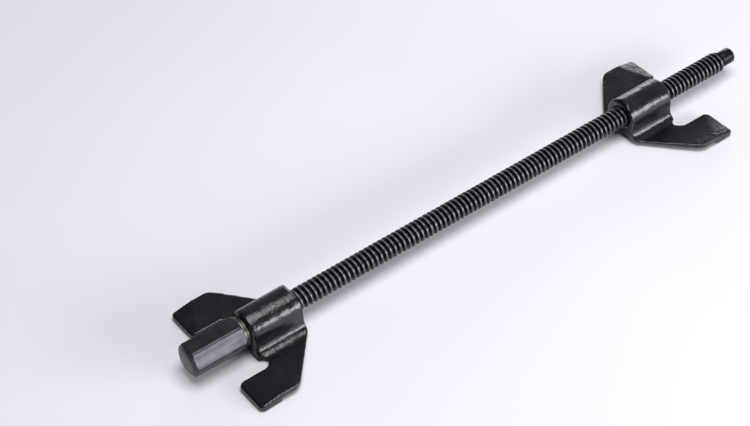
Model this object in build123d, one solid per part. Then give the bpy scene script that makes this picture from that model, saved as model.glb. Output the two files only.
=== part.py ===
from build123d import *
import math
import os

# Coil spring compressor: a trapezoidal screw, turned by a long drive hex, draws a
# travelling jaw towards a head jaw.  Millimetres.  +X runs along the screw axis from the
# drive hex to the free end, +Z is up, and the origin is the centre of the drive hex's
# outer end face.  The tool lies on the claws of its two jaws.

# Spindle: one-start right-hand trapezoidal thread, Tr 12 x 3
PITCH = 3.0
MAJOR_DIA = 12.0
MINOR_DIA = 8.5
FLANK_ANGLE = 15.0
CREST_WIDTH = 1.1
THREAD_END_X = 366.0
THREAD_CHAMFER = 1.4
NUB_DIA = 9.0
NUB_END_X = 375.0
NUB_CHAMFER = 0.8

# Drive hex: a long sleeve pressed and pinned on the spindle's plain spigot
HEX_FLATS = 17.0
HEX_LENGTH = 31.0
HEX_CHAMFER = 1.2
SPIGOT_DIA = 8.0
SPIGOT_X = 4.0
SPIGOT_FIT = 0.01
PIN_DIA = 3.0
PIN_FIT = 0.01
PIN_BORE = 1.8
PIN_SLOT = 0.6
PIN_X = 17.0
PIN_INSET = 0.5
PIN_TOP_Z = 6.0

# Thrust washers between the drive hex and the head jaw
WASHER_DIA = 16.0
WASHER_BORE = 12.4
STEEL_WASHER_T = 1.2
BRONZE_WASHER_T = 1.2
AXIAL_PLAY = 0.1

# Jaws: one forging shape used twice, with the mouths facing away from each other.
# A jaw's own x is 0 at its boss's mouth face and grows towards the other jaw.
BOSS_R = 10.2
BOSS_LENGTH = 30.5
BOSS_END_R = 4.0
MOUTH_TOP_R = 0.2
MOUTH_R = 2.0
BOSS_FLOOR_Z = -10.6
BOSS_FLOOR_Y = 8.0
ROOT_R = 5.6
ROOT_Z = -9.8
UNDERSIDE_Z = -11.0
TIP_Y = 41.0
TIP_Z = -7.8
NOSE_X = -17.8
NOSE_Z = -10.0
NOSE_TOP_R = 1.5
SLOPE_LENGTH = 13.0
SLOPE_R = 14.0
NOSE_INNER_Y = 20.5
NOSE_CORNER_R = 3.0
TOE_CORNER_R = 2.2
HEEL_X = 5.5
HEEL_CORNER_R = 9.0
MOUTH_Y = 12.5
NOTCH_X = 5.0
NOTCH_MID_Y = 15.5
CLAW_LENGTH = 12.5
CLAW_Y = 17.0
CLAW_FRONT_R = 1.8
CLAW_R = 1.4
CLAW_ROOT_R = 1.0
NOSE_TRIM = 0.25
REST_Z = -13.4
HEAD_BORE = 12.16
HEAD_X = HEX_LENGTH + STEEL_WASHER_T + BRONZE_WASHER_T + 2 * AXIAL_PLAY
TRAVEL_X = 319.5

# Retaining ring: a snap ring in a groove of the spindle, sunk in the head jaw's inner end
RING_T = 1.2
RING_DIA = 14.6
RING_BORE = 8.5
RING_GAP = 5.0
GROOVE_DIA = 8.3
GROOVE_PLAY = 0.05
POCKET_DIA = 16.0
POCKET_DEPTH = 2.4

# Running thread cut in the travelling jaw
THREAD_RADIAL_PLAY = 0.25
THREAD_FLANK_PLAY = 0.06


def along_x(solid, x):
    """Lay a solid that is built up +Z from the origin along +X, starting at x."""
    return Pos(x, 0, 0) * Rot(0, 90, 0) * solid


def rod(diameter, x0, x1):
    """Plain cylinder on the screw axis."""
    return along_x(Cylinder(diameter / 2, x1 - x0, align=(Align.CENTER, Align.CENTER, Align.MIN)), x0)


def tube(outer, inner, x0, x1):
    """Plain ring on the screw axis."""
    return rod(outer, x0, x1) - rod(inner, x0 - 1, x1 + 1)


def ends_along_x(solid, index):
    """Edges of a turned solid's near (0) or far (-1) end face."""
    return solid.faces().sort_by(Axis.X)[index].outer_wire().edges()


def screw(turns, major, minor, crest):
    """Right-hand screw up +Z from the origin; its stepped ends are for the caller to trim."""
    flank = (MAJOR_DIA - MINOR_DIA) / 2 * math.tan(math.radians(FLANK_ANGLE))
    radii = [major / 2, major / 2, minor / 2, minor / 2, major / 2]
    heights = [0, crest, crest + flank, PITCH - flank, PITCH]
    helices = [Pos(0, 0, z) * Edge.make_helix(PITCH, PITCH, r) for r, z in zip(radii, heights)]
    turn = [Face.make_surface_from_curves(a, b) for a, b in zip(helices, helices[1:])]
    ramp = Face.make_surface_from_curves(Edge.make_line((0, 0, 0), (0, 0, PITCH)), helices[0])
    outline = [(0, 0, 0)] + [(r, 0, z) for r, z in zip(radii, heights)] + [(0, 0, PITCH)]
    step = Face(Wire.make_polygon(outline, close=True))
    skin = [Pos(0, 0, PITCH * i) * face for i in range(turns) for face in turn]
    skin += [Pos(0, 0, z) * face for z in (0, PITCH * turns) for face in (ramp, step)]
    return Solid(Shell(Face.sew_faces(skin)[0]))


def spindle():
    """Threaded rod with a plain spigot for the drive hex and a turned nub at its free end."""
    start = HEX_LENGTH - 2 * PITCH
    turns = math.ceil((THREAD_END_X - start) / PITCH) + 2
    blank = rod(MAJOR_DIA + 1, HEX_LENGTH, THREAD_END_X)
    envelope = chamfer(ends_along_x(rod(MAJOR_DIA, HEX_LENGTH, THREAD_END_X), -1), THREAD_CHAMFER)
    thread = along_x(screw(turns, MAJOR_DIA, MINOR_DIA, CREST_WIDTH), start) & blank & envelope
    nub = chamfer(ends_along_x(rod(NUB_DIA, THREAD_END_X - 0.01, NUB_END_X), -1), NUB_CHAMFER)
    spigot = rod(SPIGOT_DIA, SPIGOT_X, HEX_LENGTH + 1)
    groove_x = ring_x() - GROOVE_PLAY
    groove = tube(MAJOR_DIA + 2, GROOVE_DIA, groove_x, groove_x + RING_T + 2 * GROOVE_PLAY)
    return thread + nub + spigot - groove - pin_hole()


def pin_hole():
    """Blind cross hole for the drive hex's spring pin, drilled up from the lower flat."""
    depth = PIN_TOP_Z + HEX_FLATS
    drill = Cylinder(PIN_DIA / 2, depth, align=(Align.CENTER, Align.CENTER, Align.MAX))
    return Pos(PIN_X, 0, PIN_TOP_Z) * drill


def drive_hex():
    """Long hexagon sleeve with a blind bore, flats up and down."""
    body = extrude(Plane.YZ * RegularPolygon(HEX_FLATS / 2, 6, major_radius=False), HEX_LENGTH)
    corner_dia = HEX_FLATS / math.cos(math.radians(30))
    turned = rod(corner_dia, 0, HEX_LENGTH)
    turned = chamfer(ends_along_x(turned, 0) + ends_along_x(turned, -1), HEX_CHAMFER)
    bore = rod(SPIGOT_DIA + 2 * SPIGOT_FIT, SPIGOT_X - 0.5, HEX_LENGTH + 1)
    return body & turned - bore - pin_hole()


def drive_hex_pin():
    """Slotted spring pin that locks the drive hex to the spigot."""
    bottom = -HEX_FLATS / 2 + PIN_INSET
    length = PIN_TOP_Z - PIN_INSET - bottom
    low = (Align.CENTER, Align.CENTER, Align.MIN)
    pin = Cylinder(PIN_DIA / 2 - PIN_FIT, length, align=low) - Cylinder(PIN_BORE / 2, length, align=low)
    slot = Pos(0, PIN_DIA / 2, 0) * Box(PIN_SLOT, PIN_DIA, length, align=low)
    return Pos(PIN_X, 0, bottom) * (pin - slot)


def steel_washer():
    """Hardened washer that turns with the drive hex."""
    return tube(WASHER_DIA, WASHER_BORE, HEX_LENGTH, HEX_LENGTH + STEEL_WASHER_T)


def bronze_washer():
    """Bronze thrust washer that stays with the head jaw."""
    x0 = HEX_LENGTH + STEEL_WASHER_T + AXIAL_PLAY
    return tube(WASHER_DIA, WASHER_BORE, x0, x0 + BRONZE_WASHER_T)


def jaw_outline():
    """Half of a jaw seen from above, y >= 0; the corner between mouth and notch stays sharp."""
    edge = FilletPolyline(
        (0, MOUTH_Y),
        (NOTCH_X, NOTCH_MID_Y),
        (NOTCH_X - 5, NOSE_INNER_Y),
        (NOSE_X, NOSE_INNER_Y),
        (NOSE_X, TIP_Y),
        (HEEL_X, TIP_Y),
        (BOSS_LENGTH, BOSS_R + 2.5),
        (BOSS_LENGTH, 0),
        radius=[2.5, NOSE_CORNER_R, NOSE_CORNER_R, TOE_CORNER_R, HEEL_CORNER_R, NOSE_CORNER_R],
    )
    return make_face(edge + Polyline((BOSS_LENGTH, 0), (0, 0), (0, MOUTH_Y)))


def jaw_section():
    """Jaw's cross-section, y and z: crown, walls, root fillets and wings, down to the claws."""
    root_y = BOSS_R + ROOT_R
    wall_foot_z = ROOT_Z + ROOT_R
    outline = CenterArc((0, 0), BOSS_R, 0, 180)
    for side, start_angle in ((1, 180), (-1, 270)):
        outline += Line((side * BOSS_R, 0), (side * BOSS_R, wall_foot_z))
        outline += CenterArc((side * root_y, wall_foot_z), ROOT_R, start_angle, 90)
        outline += Polyline(
            (side * root_y, ROOT_Z),
            (side * (TIP_Y + 1), TIP_Z),
            (side * (TIP_Y + 1), REST_Z),
            (side * CLAW_Y, REST_Z),
            (side * BOSS_FLOOR_Y, BOSS_FLOOR_Z),
        )
    outline += Line((BOSS_FLOOR_Y, BOSS_FLOOR_Z), (-BOSS_FLOOR_Y, BOSS_FLOOR_Z))
    return make_face(outline)


def jaw_side():
    """Jaw seen from the side, x and z: nose sloping down to its claw, flat underside of the wings."""
    front_x = NOSE_X - NOSE_TRIM
    back_x = NOSE_X + CLAW_LENGTH
    end_x = BOSS_LENGTH + NOSE_TRIM
    slope_x = NOSE_X + SLOPE_LENGTH
    lower = FilletPolyline(
        (0, TIP_Z),
        (slope_x, TIP_Z),
        (front_x, NOSE_Z),
        (front_x, REST_Z),
        (back_x, REST_Z),
        (back_x, UNDERSIDE_Z),
        (end_x, UNDERSIDE_Z),
        radius=[SLOPE_R, NOSE_TOP_R, CLAW_FRONT_R, CLAW_R, CLAW_ROOT_R],
    )
    upper = FilletPolyline(
        (end_x, UNDERSIDE_Z),
        (end_x, BOSS_R + NOSE_TRIM),
        (0, BOSS_R + NOSE_TRIM),
        (0, TIP_Z),
        radius=[BOSS_END_R, MOUTH_TOP_R],
    )
    return make_face(lower + upper)


def rim(solid, x):
    """Crown and wall edges of the boss where its end face stands at x."""
    flat = [edge for edge in solid.edges() if edge.bounding_box().size.X < 0.02]
    return [edge for edge in flat if abs(edge.center().X - x) < 0.02 and edge.bounding_box().min.Z > ROOT_Z]


def jaw_blank():
    """Solid jaw forging at its own origin: three crossing profiles, the boss ends rounded."""
    half_plan = extrude(jaw_outline(), 2 * BOSS_LENGTH, both=True)
    plan = half_plan + mirror(half_plan, about=Plane.XZ)
    across = Pos(NOSE_X - 1, 0, 0) * extrude(Plane.YZ * jaw_section(), BOSS_LENGTH - NOSE_X + 2)
    side = extrude(Plane.XZ * jaw_side(), 2 * TIP_Y, both=True)
    blank = across & plan & side
    return fillet(rim(blank, 0), MOUTH_R)


def ring_x():
    """Where the retaining ring's near face lies along the axis."""
    return HEAD_X + BOSS_LENGTH - POCKET_DEPTH + AXIAL_PLAY


def head_jaw():
    """Head jaw: plain running bore, with a pocket for the retaining ring at its inner end."""
    inner_end = HEAD_X + BOSS_LENGTH
    pocket = rod(POCKET_DIA, inner_end - POCKET_DEPTH, inner_end + 1)
    return Pos(HEAD_X, 0, 0) * jaw_blank() - rod(HEAD_BORE, HEAD_X - 1, inner_end + 1) - pocket


def retaining_ring():
    """Open snap ring that keeps the head jaw from sliding down the spindle."""
    ring = tube(RING_DIA, RING_BORE, ring_x(), ring_x() + RING_T)
    gap = Pos(ring_x() + RING_T / 2, 0, -RING_DIA / 2) * Box(2 * RING_T, RING_GAP, RING_DIA)
    return ring - gap


def travelling_jaw():
    """Travelling jaw: the same forging turned round, with the running thread cut through it."""
    blank = Pos(TRAVEL_X, 0, 0) * Rot(0, 0, 180) * jaw_blank()
    slant = THREAD_RADIAL_PLAY * math.tan(math.radians(FLANK_ANGLE))
    widening = slant + THREAD_FLANK_PLAY
    pitches_in = math.floor((TRAVEL_X - BOSS_LENGTH - HEX_LENGTH) / PITCH) - 2
    start = HEX_LENGTH + PITCH * pitches_in - widening
    turns = math.ceil(BOSS_LENGTH / PITCH) + 4
    play = 2 * THREAD_RADIAL_PLAY
    tap = screw(turns, MAJOR_DIA + play, MINOR_DIA + play, CREST_WIDTH + 2 * widening)
    return blank - along_x(tap, start)


def main():
    os.makedirs("parts", exist_ok=True)
    for make in (spindle, drive_hex, drive_hex_pin, steel_washer, bronze_washer,
                 head_jaw, retaining_ring, travelling_jaw):
        export_step(make(), os.path.join("parts", make.__name__ + ".step"))


main()
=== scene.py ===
import math

import bmesh
import bpy
import numpy as np
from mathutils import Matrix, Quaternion, Vector, noise


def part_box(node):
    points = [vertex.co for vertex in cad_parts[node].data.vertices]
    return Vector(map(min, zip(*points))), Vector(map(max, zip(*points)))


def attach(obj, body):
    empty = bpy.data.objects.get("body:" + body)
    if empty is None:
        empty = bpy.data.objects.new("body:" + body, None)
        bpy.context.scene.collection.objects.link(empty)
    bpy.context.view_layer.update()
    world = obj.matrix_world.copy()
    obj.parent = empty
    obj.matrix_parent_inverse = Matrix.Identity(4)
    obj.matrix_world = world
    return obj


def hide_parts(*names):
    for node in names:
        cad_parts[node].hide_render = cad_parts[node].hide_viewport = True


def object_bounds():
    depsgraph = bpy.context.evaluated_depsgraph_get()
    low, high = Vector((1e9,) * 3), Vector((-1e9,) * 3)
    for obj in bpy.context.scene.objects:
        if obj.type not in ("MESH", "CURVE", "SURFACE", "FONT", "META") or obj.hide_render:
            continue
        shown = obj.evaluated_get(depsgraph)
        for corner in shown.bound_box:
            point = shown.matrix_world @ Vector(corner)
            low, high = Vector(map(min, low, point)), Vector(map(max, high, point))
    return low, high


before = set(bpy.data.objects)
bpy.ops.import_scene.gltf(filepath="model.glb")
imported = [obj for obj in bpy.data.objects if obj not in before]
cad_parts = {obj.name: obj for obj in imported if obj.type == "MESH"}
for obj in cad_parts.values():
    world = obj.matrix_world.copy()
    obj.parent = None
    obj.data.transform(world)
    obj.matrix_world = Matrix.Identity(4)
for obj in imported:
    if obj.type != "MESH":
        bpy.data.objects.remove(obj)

# Coil spring compressor.  Metres, in the CAD frame: +X along the screw, +Z up.
MM = 0.001
cad_low, cad_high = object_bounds()
FLOOR_Z = cad_low.z
SCENE = bpy.context.scene
SCENE.view_settings.view_transform = "Standard"

# Thread and hex sizes, in millimetres, as on the CAD spindle and drive hex
PITCH = 3.0
CREST_R = 6.0
ROOT_R = 4.25
HEX_APOTHEM = 8.5
BOSS_LENGTH = 30.5

# Unevenness of the forged skin, in millimetres
PEEL = 0.16


# ---------------------------------------------------------------- mesh helpers

def new_object(name, mesh):
    obj = bpy.data.objects.new(name, mesh)
    SCENE.collection.objects.link(obj)
    return obj


def finish_mesh(mesh, sharp_degrees):
    """Weld, shade smooth, and keep edges steeper than the angle crisp."""
    bm = bmesh.new()
    bm.from_mesh(mesh)
    bmesh.ops.remove_doubles(bm, verts=bm.verts, dist=0.000002)
    bmesh.ops.dissolve_degenerate(bm, edges=bm.edges, dist=0.000001)
    bmesh.ops.recalc_face_normals(bm, faces=bm.faces)
    bm.to_mesh(mesh)
    bm.free()
    mesh.shade_smooth()
    mesh.set_sharp_from_angle(angle=math.radians(sharp_degrees))


def lathe_data(profile, segments=96, start=0.0, sweep=math.tau):
    """Points and faces of a profile of (x, radius) in millimetres turned about the X axis."""
    closed = abs(sweep - math.tau) < 1e-6
    steps = segments if closed else segments + 1
    verts = []
    for i in range(steps):
        angle = start + sweep * i / segments
        verts += [(x * MM, r * math.sin(angle) * MM, -r * math.cos(angle) * MM) for x, r in profile]
    count = len(profile)
    faces = []
    for i in range(segments):
        a, b = i * count, ((i + 1) % steps) * count
        faces += [(a + k, b + k, b + k + 1, a + k + 1) for k in range(count - 1)]
    return verts, faces


def mesh_from(name, parts):
    """One mesh out of several (points, faces) pairs."""
    verts, faces = [], []
    for part_verts, part_faces in parts:
        base = len(verts)
        verts += part_verts
        faces += [tuple(base + i for i in face) for face in part_faces]
    mesh = bpy.data.meshes.new(name)
    mesh.from_pydata(verts, [], faces)
    return mesh


def rounded(points, radius, steps=4):
    """A closed profile with each corner turned by a small arc."""
    out = []
    count = len(points)
    for i in range(count):
        p = Vector(points[i])
        before = (Vector(points[i - 1]) - p)
        after = (Vector(points[(i + 1) % count]) - p)
        reach = min(radius, before.length * 0.45, after.length * 0.45)
        a = p + before.normalized() * reach
        b = p + after.normalized() * reach
        for k in range(steps + 1):
            t = k / steps
            q = a.lerp(p, t).lerp(p.lerp(b, t), t)
            out.append((q.x, q.y))
    return out + [out[0]]


def evaluated(obj, name):
    """The object's mesh with its modifiers applied."""
    graph = bpy.context.evaluated_depsgraph_get()
    mesh = bpy.data.meshes.new_from_object(obj.evaluated_get(graph))
    mesh.name = name
    return mesh


# ---------------------------------------------------------------- material helpers

def material(name):
    mat = bpy.data.materials.new(name)
    mat.use_nodes = True
    nodes = mat.node_tree.nodes
    return mat, nodes, mat.node_tree.links, nodes["Principled BSDF"]


def node(nodes, kind, **values):
    """Add a node; keywords set its properties, or its sockets where no property has that name."""
    made = nodes.new(kind)
    for key, value in values.items():
        if hasattr(made, key):
            setattr(made, key, value)
        else:
            made.inputs[key.replace("_", " ")].default_value = value
    return made


def ramp(nodes, stops):
    made = nodes.new("ShaderNodeValToRGB")
    elements = made.color_ramp.elements
    while len(elements) < len(stops):
        elements.new(0.5)
    for element, (place, colour) in zip(elements, stops):
        element.position = place
        element.color = (*colour, 1) if isinstance(colour, tuple) else (colour, colour, colour, 1)
    return made


def spread(nodes, links, source, low, high, out_low, out_high):
    made = node(nodes, "ShaderNodeMapRange", From_Min=low, From_Max=high, To_Min=out_low, To_Max=out_high)
    links.new(source, made.inputs["Value"])
    return made.outputs["Result"]


def stretched(nodes, links, scale):
    """Object coordinates, scaled along each axis so that noise becomes streaks."""
    coords = nodes.new("ShaderNodeTexCoord")
    mapping = node(nodes, "ShaderNodeMapping", Scale=scale)
    links.new(coords.outputs["Object"], mapping.inputs["Vector"])
    return mapping.outputs["Vector"]


def noise_at(nodes, links, vector, scale, detail=4.0, roughness=0.55):
    made = node(nodes, "ShaderNodeTexNoise", Scale=scale, Detail=detail, Roughness=roughness)
    links.new(vector, made.inputs["Vector"])
    return made.outputs["Fac"]


def bumps(nodes, links, bsdf, layers):
    """Chain bump nodes, given as (height output, strength, distance in metres)."""
    normal = None
    for height, strength, distance in layers:
        bump = node(nodes, "ShaderNodeBump", Strength=strength, Distance=distance)
        links.new(height, bump.inputs["Height"])
        if normal is not None:
            links.new(normal, bump.inputs["Normal"])
        normal = bump.outputs["Normal"]
    links.new(normal, bsdf.inputs["Normal"])


def axis_radius(nodes, links):
    """Distance from the screw axis, in metres."""
    coords = nodes.new("ShaderNodeTexCoord")
    flat = node(nodes, "ShaderNodeVectorMath", operation="MULTIPLY")
    flat.inputs[1].default_value = (0, 1, 1)
    links.new(coords.outputs["Object"], flat.inputs[0])
    length = node(nodes, "ShaderNodeVectorMath", operation="LENGTH")
    links.new(flat.outputs["Vector"], length.inputs[0])
    return length.outputs["Value"]


# ---------------------------------------------------------------- materials

def black_forging():
    """Gloss black over a forged skin: faint orange peel, pits, thin grey wear on proud edges."""
    mat, nodes, links, bsdf = material("black_forging")
    plain = stretched(nodes, links, (1, 1, 1))
    cloud = noise_at(nodes, links, plain, 90, 5)
    fine = noise_at(nodes, links, plain, 900, 3, 0.6)
    skin = noise_at(nodes, links, plain, 450, 4, 0.5)
    tone = ramp(nodes, [(0.35, (0.004, 0.004, 0.0055)), (0.6, (0.007, 0.007, 0.009)), (0.8, (0.012, 0.012, 0.015))])
    links.new(cloud, tone.inputs["Fac"])
    pointy = nodes.new("ShaderNodeNewGeometry")
    edge = spread(nodes, links, pointy.outputs["Pointiness"], 0.54, 0.66, 0.0, 0.55)
    worn = node(nodes, "ShaderNodeMath", operation="MULTIPLY")
    links.new(edge, worn.inputs[0])
    links.new(spread(nodes, links, skin, 0.42, 0.62, 0.0, 1.0), worn.inputs[1])
    mix = node(nodes, "ShaderNodeMix", data_type="RGBA")
    links.new(worn.outputs["Value"], mix.inputs["Factor"])
    links.new(tone.outputs["Color"], mix.inputs["A"])
    mix.inputs["B"].default_value = (0.12, 0.12, 0.125, 1)
    links.new(mix.outputs["Result"], bsdf.inputs["Base Color"])
    links.new(spread(nodes, links, cloud, 0.3, 0.7, 0.17, 0.28), bsdf.inputs["Roughness"])
    bsdf.inputs["IOR"].default_value = 1.5
    bsdf.inputs["Coat Weight"].default_value = 0.15
    bsdf.inputs["Coat Roughness"].default_value = 0.15
    bumps(nodes, links, bsdf, [(skin, 0.7, 0.0004), (fine, 0.4, 0.00012)])
    return mat


def oxide_thread():
    """Black-oxide screw: colour by distance from the axis, with painted shade in the thread roots and a painted grey
    highlight on the crests; oil-dark streaks.
    """
    mat, nodes, links, bsdf = material("oxide_thread")
    radius = axis_radius(nodes, links)
    streak = noise_at(nodes, links, stretched(nodes, links, (1, 1, 1)), 420, 5, 0.6)
    broad = noise_at(nodes, links, stretched(nodes, links, (1, 1, 1)), 60, 3)
    wobble = node(nodes, "ShaderNodeMath", operation="MULTIPLY_ADD")
    links.new(streak, wobble.inputs[0])
    wobble.inputs[1].default_value = 0.0006
    links.new(radius, wobble.inputs[2])
    # Painted light: roots darkened as painted shade and crests lightened to grey as painted highlight, by distance
    # from the axis.
    height = spread(nodes, links, wobble.outputs["Value"], 0.0046, 0.0064, 0.0, 1.0)
    tone = ramp(nodes, [(0.0, (0.012, 0.012, 0.016)), (0.55, (0.035, 0.035, 0.042)), (0.86, (0.09, 0.09, 0.10)), (1.0, (0.18, 0.18, 0.19))])
    links.new(height, tone.inputs["Fac"])
    dim = node(nodes, "ShaderNodeMix", data_type="RGBA", blend_type="MULTIPLY")
    dim.inputs["Factor"].default_value = 0.5
    shade = ramp(nodes, [(0.3, 0.55), (0.65, 1.0)])
    links.new(broad, shade.inputs["Fac"])
    links.new(tone.outputs["Color"], dim.inputs["A"])
    links.new(shade.outputs["Color"], dim.inputs["B"])
    links.new(dim.outputs["Result"], bsdf.inputs["Base Color"])
    bsdf.inputs["Metallic"].default_value = 0.85
    links.new(spread(nodes, links, streak, 0.3, 0.7, 0.28, 0.48), bsdf.inputs["Roughness"])
    bumps(nodes, links, bsdf, [(streak, 0.3, 0.0001)])
    return mat


def machined(name, dark, light, grain, rough=(0.28, 0.42), metallic=0.9):
    """Machined steel with a directional grain: `grain` scales the noise along x, y and z."""
    mat, nodes, links, bsdf = material(name)
    lines = noise_at(nodes, links, stretched(nodes, links, grain), 260, 4, 0.6)
    cloud = noise_at(nodes, links, stretched(nodes, links, (1, 1, 1)), 130, 4)
    tone = ramp(nodes, [(0.3, dark), (0.7, light)])
    links.new(cloud, tone.inputs["Fac"])
    pointy = nodes.new("ShaderNodeNewGeometry")
    edge = spread(nodes, links, pointy.outputs["Pointiness"], 0.53, 0.62, 0.0, 0.5)
    mix = node(nodes, "ShaderNodeMix", data_type="RGBA")
    links.new(edge, mix.inputs["Factor"])
    links.new(tone.outputs["Color"], mix.inputs["A"])
    mix.inputs["B"].default_value = (min(light[0] * 2, 0.6), min(light[1] * 2, 0.6), min(light[2] * 2, 0.6), 1)
    links.new(mix.outputs["Result"], bsdf.inputs["Base Color"])
    bsdf.inputs["Metallic"].default_value = metallic
    links.new(spread(nodes, links, lines, 0.3, 0.7, *rough), bsdf.inputs["Roughness"])
    bumps(nodes, links, bsdf, [(lines, 0.25, 0.00006), (cloud, 0.15, 0.0001)])
    return mat


def floor_material():
    mat, nodes, links, bsdf = material("studio_floor")
    cloud = noise_at(nodes, links, stretched(nodes, links, (1, 1, 1)), 6, 2)
    tone = ramp(nodes, [(0.3, (0.86, 0.86, 0.90)), (0.7, (0.88, 0.88, 0.915))])
    links.new(cloud, tone.inputs["Fac"])
    links.new(tone.outputs["Color"], bsdf.inputs["Base Color"])
    bsdf.inputs["Roughness"].default_value = 0.55
    bsdf.inputs["Specular IOR Level"].default_value = 0.3
    return mat


# ---------------------------------------------------------------- pieces

def thread_limit(x, x_end, groove):
    """Largest radius the screw may have at x: start, end chamfer and snap-ring groove."""
    limit = np.where(x > x_end - 1.4, CREST_R - (x - (x_end - 1.4)), CREST_R)
    return np.where((x > groove[0]) & (x < groove[1]), np.minimum(limit, 4.15), limit)


def screw_data(x_start, x_end, groove, around):
    """Helical skin of the screw, crest corners rounded, right-handed."""
    profile = [(0.0, 5.78), (0.1, 5.94), (0.28, 6.0), (0.82, 6.0), (1.0, 5.94), (1.1, 5.78),
               (1.5, 4.4), (1.62, 4.27), (1.85, 4.25), (2.25, 4.25), (2.48, 4.27), (2.6, 4.4)]
    offsets = np.array([p[0] for p in profile])
    radii = np.array([p[1] for p in profile])
    turns = math.ceil((x_end - x_start) / PITCH) + 3
    rows = turns * around
    index = np.arange(rows + around)
    angle = math.tau * (index % around) / around
    x = x_start - 2 * PITCH + index[:, None] * PITCH / around + offsets[None, :]
    r = np.broadcast_to(radii, x.shape)
    clamped = np.clip(x, x_start, x_end)
    r = np.where(x > x_end, 4.6, np.where(x < x_start, ROOT_R, r))
    r = np.minimum(r, thread_limit(clamped, x_end, groove))
    points = np.stack([clamped, r * np.sin(angle)[:, None], -r * np.cos(angle)[:, None]], axis=2) * MM
    verts = [tuple(p) for p in points.reshape(-1, 3)]
    count = len(profile)
    faces = []
    for i in range(rows - 1):
        a, b = i * count, (i + 1) * count
        faces += [(a + k, b + k, b + k + 1, a + k + 1) for k in range(count - 1)]
        last, first = a + count - 1, (i + around) * count
        faces.append((last, last + count, first + count, first))
    return verts, faces


def make_spindle():
    low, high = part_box("spindle")
    hex_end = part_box("drive_hex")[1].x / MM
    ring_low, ring_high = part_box("retaining_ring")
    x_end = high.x / MM - 9.0
    tip = high.x / MM
    groove = (ring_low.x / MM - 0.05, ring_high.x / MM + 0.05)
    around = 48
    spigot = [(low.x / MM, 0.0), (low.x / MM, 3.6), (low.x / MM + 0.4, 4.0), (hex_end, 4.0), (hex_end, ROOT_R)]
    nub = [(x_end, 4.6), (x_end, 4.25), (x_end + 0.5, 4.25), (x_end + 0.9, 4.5), (tip - 0.9, 4.5)]
    nub += [(tip - 0.75, 4.46), (tip - 0.12, 3.82), (tip, 3.7), (tip, 1.2), (tip - 0.5, 0.6), (tip - 0.9, 0.0)]
    mesh = mesh_from("spindle_skin", [
        screw_data(hex_end, x_end, groove, around),
        lathe_data(spigot),
        lathe_data(nub),
    ])
    finish_mesh(mesh, 40)
    mesh.materials.append(oxide_thread())
    obj = new_object("screw_thread", mesh)
    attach(obj, "spindle")
    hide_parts("spindle")


def hex_radius(angle, x, length):
    """Radius of the drive hex in millimetres: flats up and down, corners eased, ends chamfered."""
    face = (angle + math.pi / 6) % (math.pi / 3) - math.pi / 6
    flat = HEX_APOTHEM / math.cos(face)
    near_end = 6.5 + x * 1.9
    far_end = 8.65 + (length - x) * 1.0
    corner = 9.55
    total = sum(v ** -70.0 for v in (flat, corner, near_end, far_end))
    return total ** (-1 / 70.0)


def make_hex():
    low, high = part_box("drive_hex")
    length = (high.x - low.x) / MM
    xs = [0, 0.04, 0.12, 0.25] + [0.25 * k for k in range(2, 14)]
    xs += [3.5 + (length - 5.5) * k / 12 for k in range(13)]
    xs += [length - 2 + 0.2 * k for k in range(1, 9)] + [length - 0.25, length - 0.1, length - 0.03, length]
    around = 180
    angles = [math.tau * i / around for i in range(around)]
    verts, faces = [], []
    for x in xs:
        ease = 0.16 * math.exp(-x / 0.06) + 0.12 * math.exp(-(length - x) / 0.05)
        for a in angles:
            r = hex_radius(a, x, length) - ease
            verts.append((x * MM, r * math.sin(a) * MM, -r * math.cos(a) * MM))
    for i in range(len(xs) - 1):
        for k in range(around):
            n = (k + 1) % around
            faces.append((i * around + k, i * around + n, (i + 1) * around + n, (i + 1) * around + k))
    bore = 4.02
    near_face = lathe_data([(0.0, hex_radius(math.pi / 6, 0, length) - 0.16), (0.0, 0.0)], around)
    far_face = lathe_data([(length, hex_radius(0, length, length) - 0.12), (length, bore + 0.4), (length - 0.4, bore),
                           (3.6, bore), (3.6, 0.0)], around)
    mesh = mesh_from("drive_hex_skin", [(verts, faces), near_face, far_face])
    finish_mesh(mesh, 32)
    mesh.materials.append(machined("hex_steel", (0.04, 0.04, 0.047), (0.07, 0.07, 0.08), (0.08, 1, 1)))
    obj = new_object("hex_sleeve", mesh)
    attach(obj, "spindle")
    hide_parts("drive_hex")


def make_washer(name, source, body, mat):
    low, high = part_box(source)
    x0, x1 = low.x / MM, high.x / MM
    outer = high.y / MM
    profile = rounded([(x0, 6.2), (x0, outer), (x1, outer), (x1, 6.2)], 0.25)
    mesh = mesh_from(name, [lathe_data(profile)])
    finish_mesh(mesh, 40)
    mesh.materials.append(mat)
    obj = new_object(name, mesh)
    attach(obj, body)
    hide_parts(source)


def make_ring():
    low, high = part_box("retaining_ring")
    x0, x1 = low.x / MM, high.x / MM
    outer = high.y / MM
    half_gap = 2.5 / outer
    profile = rounded([(x0, 4.25), (x0, outer), (x1, outer), (x1, 4.25)], 0.2)
    verts, faces = lathe_data(profile, 90, half_gap + 0.2, math.tau - 2 * half_gap - 0.4)
    count = len(profile)
    faces.append(tuple(range(count - 1)))
    faces.append(tuple(range(len(verts) - count, len(verts) - 1)))
    mesh = mesh_from("snap_ring", [(verts, faces)])
    finish_mesh(mesh, 40)
    mesh.materials.append(machined("ring_steel", (0.06, 0.06, 0.065), (0.12, 0.12, 0.125), (1, 0.2, 0.2)))
    obj = new_object("snap_ring", mesh)
    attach(obj, "spindle")
    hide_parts("retaining_ring")


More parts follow.
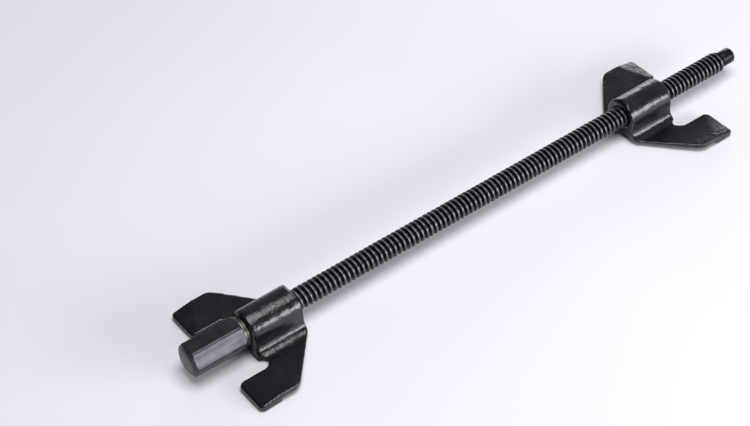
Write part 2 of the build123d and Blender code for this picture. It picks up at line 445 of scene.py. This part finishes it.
def forged(source, name, plug, bore, peel):
    """Jaw forging: the CAD shape melted to soft edges, its skin uneven, its bore cut clean."""
    node_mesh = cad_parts[source].data.copy()
    blank = new_object(name + "_blank", node_mesh)
    plug_mesh = mesh_from(name + "_plug", [lathe_data(plug, 64)])
    bm = bmesh.new()
    bm.from_mesh(node_mesh)
    bmesh.ops.remove_doubles(bm, verts=bm.verts, dist=0.000002)
    bm.from_mesh(plug_mesh)
    bmesh.ops.recalc_face_normals(bm, faces=bm.faces)
    bm.to_mesh(node_mesh)
    bm.free()
    melt = blank.modifiers.new("melt", "REMESH")
    melt.mode = "VOXEL"
    melt.voxel_size = 0.42 * MM
    relax = blank.modifiers.new("relax", "SMOOTH")
    relax.factor = 0.5
    relax.iterations = 16
    mesh = evaluated(blank, name)
    bpy.data.objects.remove(blank)
    for vertex in mesh.vertices:
        p = vertex.co / MM
        lumps = noise.noise(p / 5.5) * 0.5 + noise.noise(p / 1.9) * 0.28 + noise.noise(p / 0.8) * 0.10
        vertex.co += vertex.normal * lumps * peel * MM
    obj = new_object(name, mesh)
    cutter = new_object(name + "_cutter", mesh_from(name + "_cutter", [lathe_data(bore, 96)]))
    finish_mesh(cutter.data, 30)
    cut = obj.modifiers.new("bore", "BOOLEAN")
    cut.operation = "DIFFERENCE"
    cut.solver = "EXACT"
    cut.object = cutter
    mesh = evaluated(obj, name)
    obj.modifiers.clear()
    obj.data = mesh
    bpy.data.objects.remove(cutter)
    mesh.shade_smooth()
    mesh.set_sharp_from_angle(angle=math.radians(48))
    return obj


def dress_jaw(source, name, body, plug, bore, skin):
    obj = forged(source, name, plug, bore, PEEL)
    obj.data.materials.clear()
    obj.data.materials.append(skin)
    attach(obj, body)
    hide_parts(source)


def make_jaws():
    skin = black_forging()
    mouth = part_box("bronze_washer")[1].x / MM + 0.1
    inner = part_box("head_jaw")[1].x / MM
    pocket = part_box("retaining_ring")[0].x / MM - 0.1
    plug = [(mouth, 0.0), (mouth, 6.6), (inner, 6.6), (inner, 0.0)]
    bore = [(mouth - 3, 0.0), (mouth - 3, 9.7), (mouth - 0.6, 7.3), (mouth + 0.6, 6.1), (pocket, 6.1),
            (pocket, 8.0), (inner - 0.3, 8.0), (inner + 2.7, 11.0), (inner + 2.7, 0.0)]
    dress_jaw("head_jaw", "head_forging", "head", plug, bore, skin)
    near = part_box("travelling_jaw")[0].x / MM
    far = near + BOSS_LENGTH
    plug = [(near, 0.0), (near, 6.9), (far, 6.9), (far, 0.0)]
    bore = [(near - 3, 0.0), (near - 3, 10.2), (near + 1.0, 6.2), (far - 1.0, 6.2), (far + 3, 10.2), (far + 3, 0.0)]
    dress_jaw("travelling_jaw", "travelling_forging", "travelling_jaw", plug, bore, skin)


def dress_pin():
    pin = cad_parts["drive_hex_pin"]
    pin.data.materials.clear()
    pin.data.materials.append(machined("pin_steel", (0.10, 0.10, 0.11), (0.2, 0.2, 0.21), (1, 1, 0.1)))


# ---------------------------------------------------------------- studio

def add_camera():
    data = bpy.data.cameras.new("camera")
    data.lens = 86.37
    data.sensor_width = 36
    camera = new_object("camera", data)
    camera.location = (-0.2641, -0.5411, 0.6571)
    aim = Vector((0.4189, 0.5928, -0.6878)).to_track_quat("-Z", "Y")
    camera.rotation_mode = "QUATERNION"
    camera.rotation_quaternion = aim @ Quaternion((0, 0, 1), math.radians(-3.05))
    SCENE.camera = camera


def add_floor():
    size = 3.0
    steps = 8
    verts = [((i / steps - 0.5) * size, (j / steps - 0.5) * size, FLOOR_Z) for j in range(steps + 1) for i in range(steps + 1)]
    faces = [(j * 9 + i, j * 9 + i + 1, j * 9 + i + 10, j * 9 + i + 9) for j in range(steps) for i in range(steps)]
    mesh = bpy.data.meshes.new("floor")
    mesh.from_pydata(verts, [], faces)
    mesh.materials.append(floor_material())
    floor = new_object("floor", mesh)


def add_light(name, place, target, size, power, colour):
    data = bpy.data.lights.new(name, "AREA")
    data.shape = "RECTANGLE"
    data.size, data.size_y = size
    data.energy = power
    data.color = colour
    light = new_object(name, data)
    light.location = place
    light.rotation_mode = "QUATERNION"
    light.rotation_quaternion = (Vector(target) - Vector(place)).to_track_quat("-Z", "Y")


def add_lights():
    middle = (cad_low + cad_high) / 2
    back = middle + Vector((1.00, 1.00, 0.30))
    add_light("back_softbox", back, middle, (0.9, 0.35), 5, (0.97, 0.97, 1.0))
    strip = middle + Vector((0.50, -1.06, 0.30))
    add_light("low_strip", strip, middle, (1.0, 0.26), 13, (0.97, 0.97, 1.0))
    top = middle + Vector((0.0, -0.22, 1.3))
    add_light("top_softbox", top, middle, (0.8, 0.8), 14, (0.98, 0.98, 1.0))


def add_world():
    """Pale room, dark towards the drive-hex end."""
    world = bpy.data.worlds.new("studio")
    SCENE.world = world
    world.use_nodes = True
    nodes, links = world.node_tree.nodes, world.node_tree.links
    coords = nodes.new("ShaderNodeTexCoord")
    side = node(nodes, "ShaderNodeVectorMath", operation="DOT_PRODUCT")
    side.inputs[1].default_value = (0.93, 0.25, 0.27)
    links.new(coords.outputs["Generated"], side.inputs[0])
    tone = ramp(nodes, [(0.0, (0.02, 0.02, 0.03)), (0.42, (0.03, 0.03, 0.04)), (0.62, (0.16, 0.16, 0.19)), (1.0, (0.42, 0.42, 0.48))])
    links.new(spread(nodes, links, side.outputs["Value"], -1.0, 1.0, 0.0, 1.0), tone.inputs["Fac"])
    links.new(tone.outputs["Color"], nodes["Background"].inputs["Color"])
    nodes["Background"].inputs["Strength"].default_value = 0.72


add_camera()
add_floor()
add_lights()
add_world()
make_spindle()
make_hex()
make_washer("washer_steel", "steel_washer", "spindle",
            machined("washer_steel", (0.10, 0.10, 0.095), (0.17, 0.17, 0.16), (1, 0.3, 0.3)))
make_washer("washer_bronze", "bronze_washer", "head",
            machined("washer_bronze", (0.07, 0.068, 0.05), (0.13, 0.125, 0.09), (1, 0.3, 0.3), (0.3, 0.45)))
make_ring()
make_jaws()
dress_pin()
